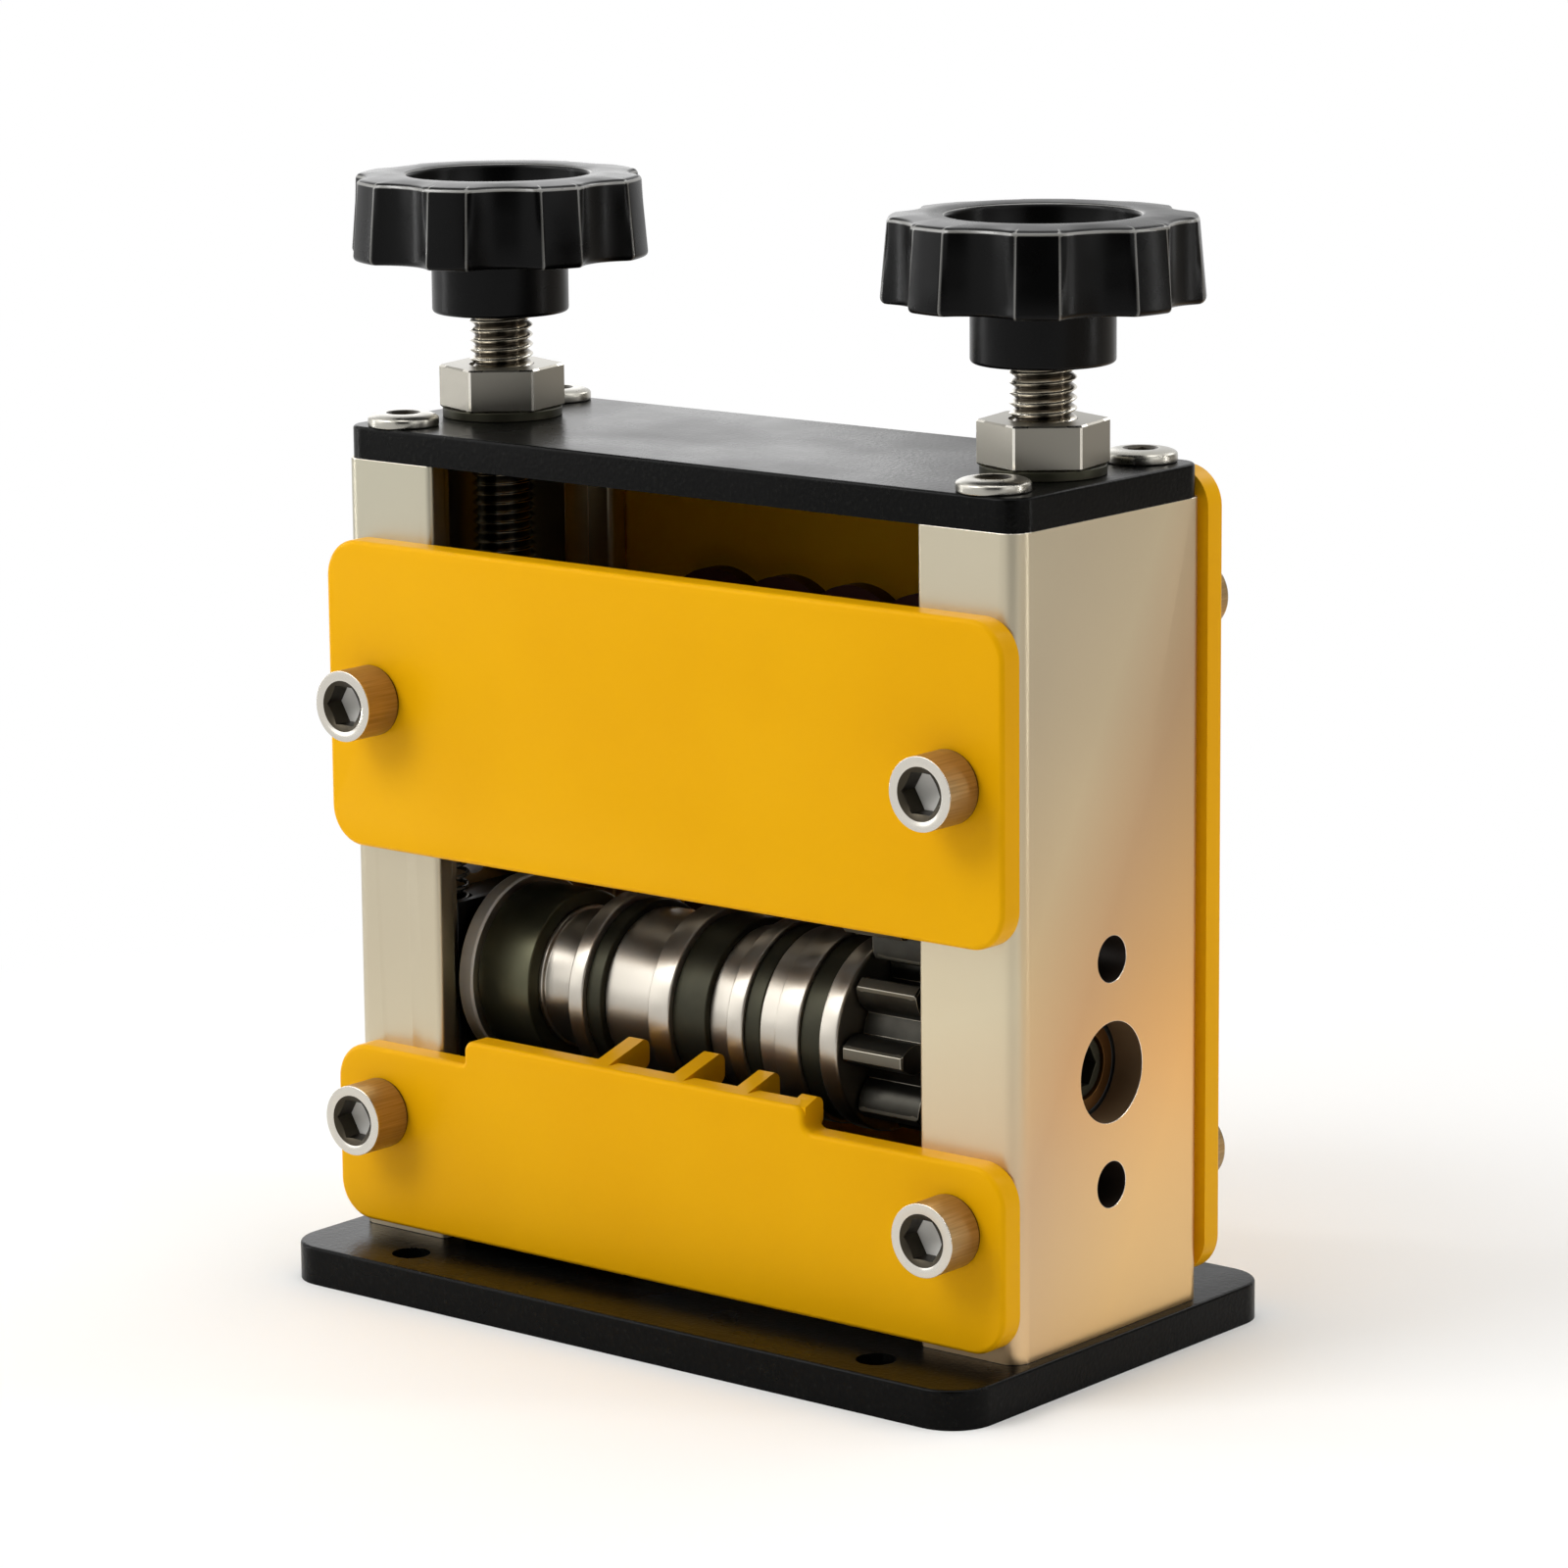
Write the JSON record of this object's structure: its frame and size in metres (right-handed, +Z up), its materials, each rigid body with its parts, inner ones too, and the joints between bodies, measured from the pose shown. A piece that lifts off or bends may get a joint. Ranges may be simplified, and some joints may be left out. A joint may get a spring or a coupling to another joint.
{
  "type": "bench wire stripper",
  "caption": "Bench wire stripper: grooved feed wheels geared to round blades between two side channels, with star knobs that set the cutting depth.",
  "frame": {"origin": "centre of the base plate's underside, on the bench", "axes": "+Z up, +X along the shafts towards the geared end, -Y towards the outlet side where the stripped wire leaves"},
  "size_m": [0.1513, 0.078, 0.1709],
  "materials": {
    "black_anodised": "fine sandblasted and black anodised",
    "satin_aluminium": "fine sandblasted, champagne anodised",
    "yellow_powder_coat": "satin powder coat",
    "black_acetal": "machined black acetal",
    "stainless_steel": "bright stainless steel",
    "zinc_steel": "satin zinc plated steel",
    "turned_steel": "ground and turned steel",
    "blade_steel": "hardened and ground",
    "black_oxide_steel": "black oxide steel",
    "block_aluminium": "milled, black anodised",
    "keeper_steel": "cold rolled steel sheet",
    "bronze": "sintered bronze",
    "spring_steel": "spring wire",
    "black_bakelite": "moulded phenolic, glossy"
  },
  "bodies": {
    "frame": {"base_plate": "black_anodised", "left_side_channel": "satin_aluminium", "right_side_channel": "satin_aluminium", "top_plate": "black_anodised", "rear_feed_plate": "yellow_powder_coat", "rear_guide_board": "black_acetal", "front_upper_guard": "yellow_powder_coat", "front_comb_guard": "yellow_powder_coat", "upper_guard_screws": "stainless_steel", "comb_guard_screws": "stainless_steel", "rear_plate_screws": "stainless_steel", "top_plate_screws": "stainless_steel", "base_plate_screws": "stainless_steel", "lower_block_screws": "stainless_steel", "guide_board_screws": "stainless_steel", "left_lower_block": "block_aluminium", "right_lower_block": "block_aluminium", "lower_bushes": "bronze", "return_springs": "spring_steel", "lock_washers": "black_oxide_steel"},
    "drive": {"drive_shaft": "turned_steel", "drive_key": "turned_steel", "anvil_roller_1": "black_oxide_steel", "feed_wheel_2": "turned_steel", "cheek_ring_2": "black_oxide_steel", "feed_wheel_3": "turned_steel", "cheek_ring_3": "black_oxide_steel", "feed_wheel_4": "turned_steel", "anvil_ring_5": "black_oxide_steel", "feed_wheel_5": "turned_steel", "anvil_ring_6": "black_oxide_steel", "feed_wheel_6": "turned_steel", "drive_sleeve": "turned_steel", "drive_retaining_ring": "black_oxide_steel", "drive_gear": "black_oxide_steel"},
    "carriage": {"left_upper_block": "block_aluminium", "right_upper_block": "block_aluminium", "upper_bushes": "bronze", "screw_keepers": "keeper_steel", "keeper_screws": "stainless_steel"},
    "cutter": {"cutter_shaft": "turned_steel", "cutter_key": "turned_steel", "cutter_blade_1": "blade_steel", "cutter_blade_2": "blade_steel", "cutter_blade_3": "blade_steel", "cutter_blade_4": "blade_steel", "cutter_blade_5": "blade_steel", "cutter_blade_6": "blade_steel", "blade_spacers": "turned_steel", "cutter_sleeve": "turned_steel", "cutter_retaining_ring": "black_oxide_steel", "cutter_gear": "black_oxide_steel"},
    "left_adjuster": {"left_adjusting_screw": "stainless_steel", "left_knob": "black_bakelite", "left_knob_nut": "stainless_steel"},
    "right_adjuster": {"right_adjusting_screw": "stainless_steel", "right_knob": "black_bakelite", "right_knob_nut": "stainless_steel"},
    "left_nut": {"left_lock_nut": "zinc_steel"},
    "right_nut": {"right_lock_nut": "zinc_steel"}
  },
  "joints": [
    {"name": "drive_turn", "type": "hinge", "parent": "frame", "child": "drive", "pos_m": [0, 0, 0.0455], "axis": [1, 0, 0], "continuous": true},
    {"name": "carriage_slide", "type": "slide", "parent": "frame", "child": "carriage", "axis": [0, 0, 1], "range_m": [-0.002, 0.002], "deforming": ["return_springs"]},
    {"name": "cutter_turn", "type": "hinge", "parent": "carriage", "child": "cutter", "pos_m": [0, 0, 0.0745], "axis": [1, 0, 0], "continuous": true},
    {"name": "left_knob_turn", "type": "hinge", "parent": "carriage", "child": "left_adjuster", "pos_m": [-0.0525, 0, 0.15], "axis": [0, 0, 1], "range_deg": [-481, 481]},
    {"name": "right_knob_turn", "type": "hinge", "parent": "carriage", "child": "right_adjuster", "pos_m": [0.0525, 0, 0.15], "axis": [0, 0, 1], "range_deg": [-481, 481]},
    {"name": "left_nut_turn", "type": "hinge", "parent": "frame", "child": "left_nut", "pos_m": [-0.0525, 0, 0.1377], "axis": [0, 0, 1], "range_deg": [0, 90]},
    {"name": "right_nut_turn", "type": "hinge", "parent": "frame", "child": "right_nut", "pos_m": [0.0525, 0, 0.1377], "axis": [0, 0, 1], "range_deg": [0, 90]}
  ],
  "couplings": [
    {"joint": "cutter_turn", "follows": "drive_turn", "ratio": -0.8},
    {"joint": "left_knob_turn", "follows": "carriage_slide", "rad_per_m": 4188.8},
    {"joint": "right_knob_turn", "follows": "carriage_slide", "rad_per_m": 4188.8}
  ]
}
